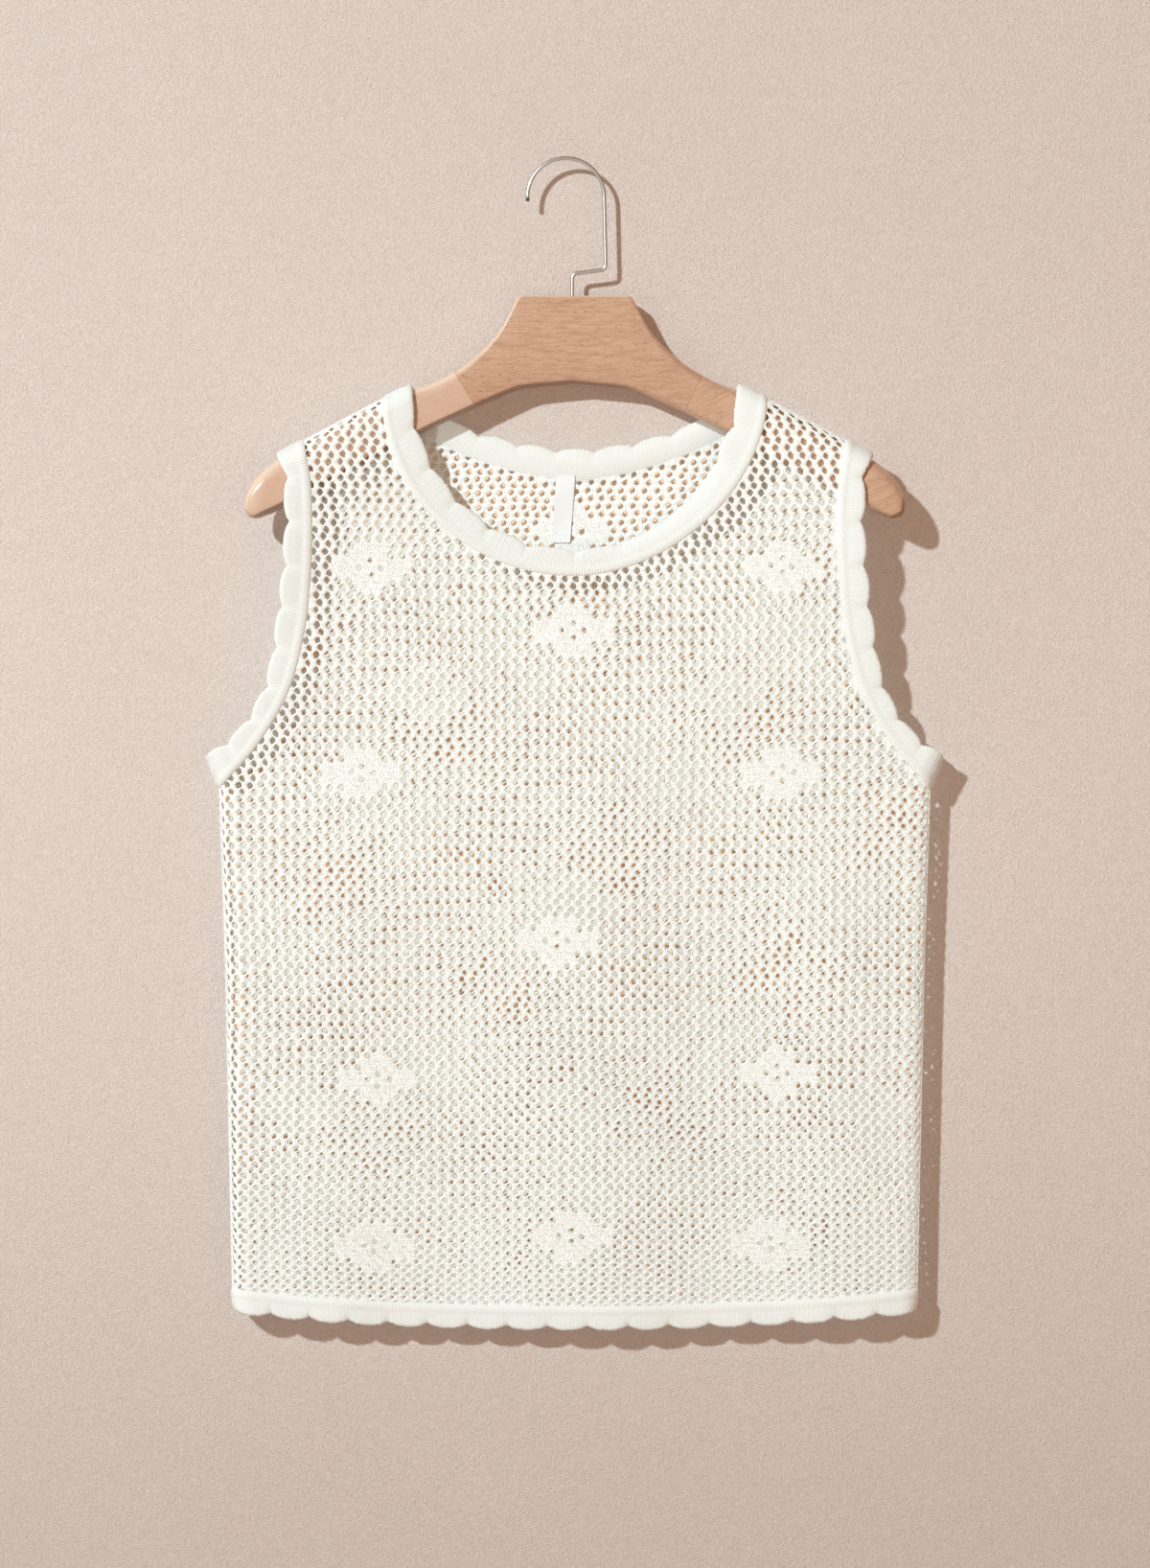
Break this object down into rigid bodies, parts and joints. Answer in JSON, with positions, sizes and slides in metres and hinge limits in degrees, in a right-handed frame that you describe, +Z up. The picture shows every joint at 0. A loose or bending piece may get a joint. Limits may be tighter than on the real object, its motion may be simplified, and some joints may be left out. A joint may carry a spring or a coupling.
{
  "type": "sleeveless crochet top on a wooden clothes hanger",
  "caption": "Sleeveless open-net knit top with flower motifs and scalloped rib bands at neck, armholes and hem, hanging flat on a contoured wooden hanger with a bent wire hook",
  "frame": {"origin": "inner top of the hook, where it rests on the rail or peg that carries it", "axes": "+Z up, the garment's front faces -Y, +X to the right of someone looking at the front"},
  "size_m": [0.4598, 0.0359, 0.734],
  "materials": {
    "net_knit": "matt off-white cotton net knit",
    "rib_knit": "matt off-white cotton rib",
    "woven_label": "smooth white woven tape, bare",
    "beech": "satin varnished beech",
    "steel_wire": "bright drawn steel wire"
  },
  "bodies": {
    "root": {"front_panel": "net_knit", "back_panel": "net_knit", "neck_band": "rib_knit", "armhole_band_left": "rib_knit", "armhole_band_right": "rib_knit", "hem_band_front": "rib_knit", "hem_band_back": "rib_knit", "neck_label": "woven_label", "hanger": "beech", "hanger_hook": "steel_wire"}
  },
  "joints": []
}
